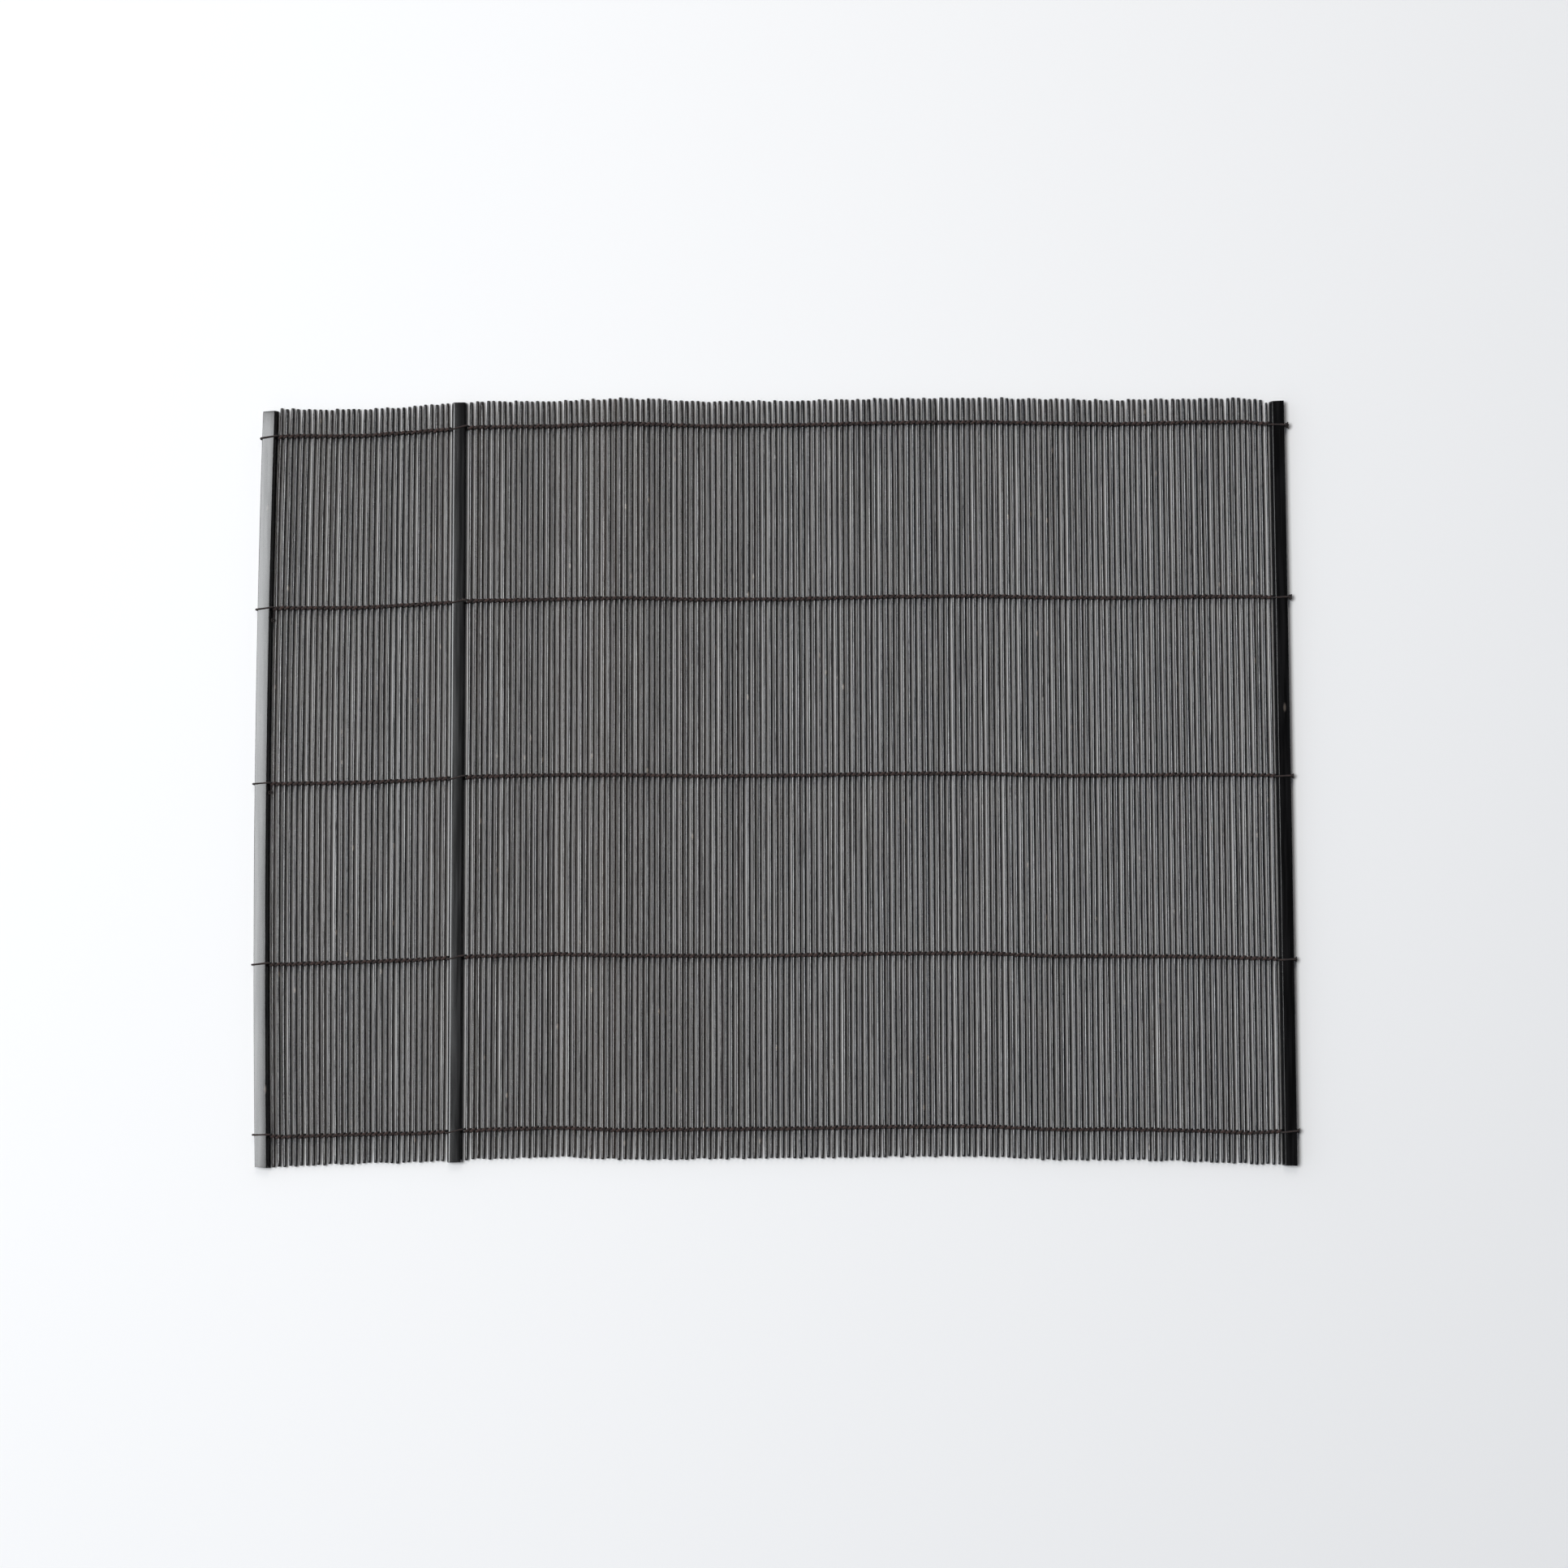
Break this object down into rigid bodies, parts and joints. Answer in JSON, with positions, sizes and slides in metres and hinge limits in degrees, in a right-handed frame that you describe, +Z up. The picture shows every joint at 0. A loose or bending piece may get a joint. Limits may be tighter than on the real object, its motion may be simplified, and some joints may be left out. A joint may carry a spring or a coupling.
{
  "type": "bamboo placemat",
  "caption": "Flat oblong mat of thin round bamboo sticks and flat slats, tied side by side by rows of twined thread, lying on a surface.",
  "frame": {"origin": "centre of the mat's box, on the surface it lies on", "axes": "+X across the sticks towards the knotted side, +Y along the sticks, +Z up"},
  "size_m": [0.4546, 0.3356, 0.0044],
  "materials": {
    "stick_bamboo": "black stain, silky, worn brown in places",
    "slat_bamboo": "black stain, satin",
    "thread": "dark brown spun thread, matt"
  },
  "bodies": {
    "root": {"slat_left": "slat_bamboo", "slat_middle": "slat_bamboo", "slat_right": "slat_bamboo", "sticks_left": "stick_bamboo", "sticks_right": "stick_bamboo", "thread_row_1": "thread", "thread_row_2": "thread", "thread_row_3": "thread", "thread_row_4": "thread", "thread_row_5": "thread"}
  },
  "joints": []
}
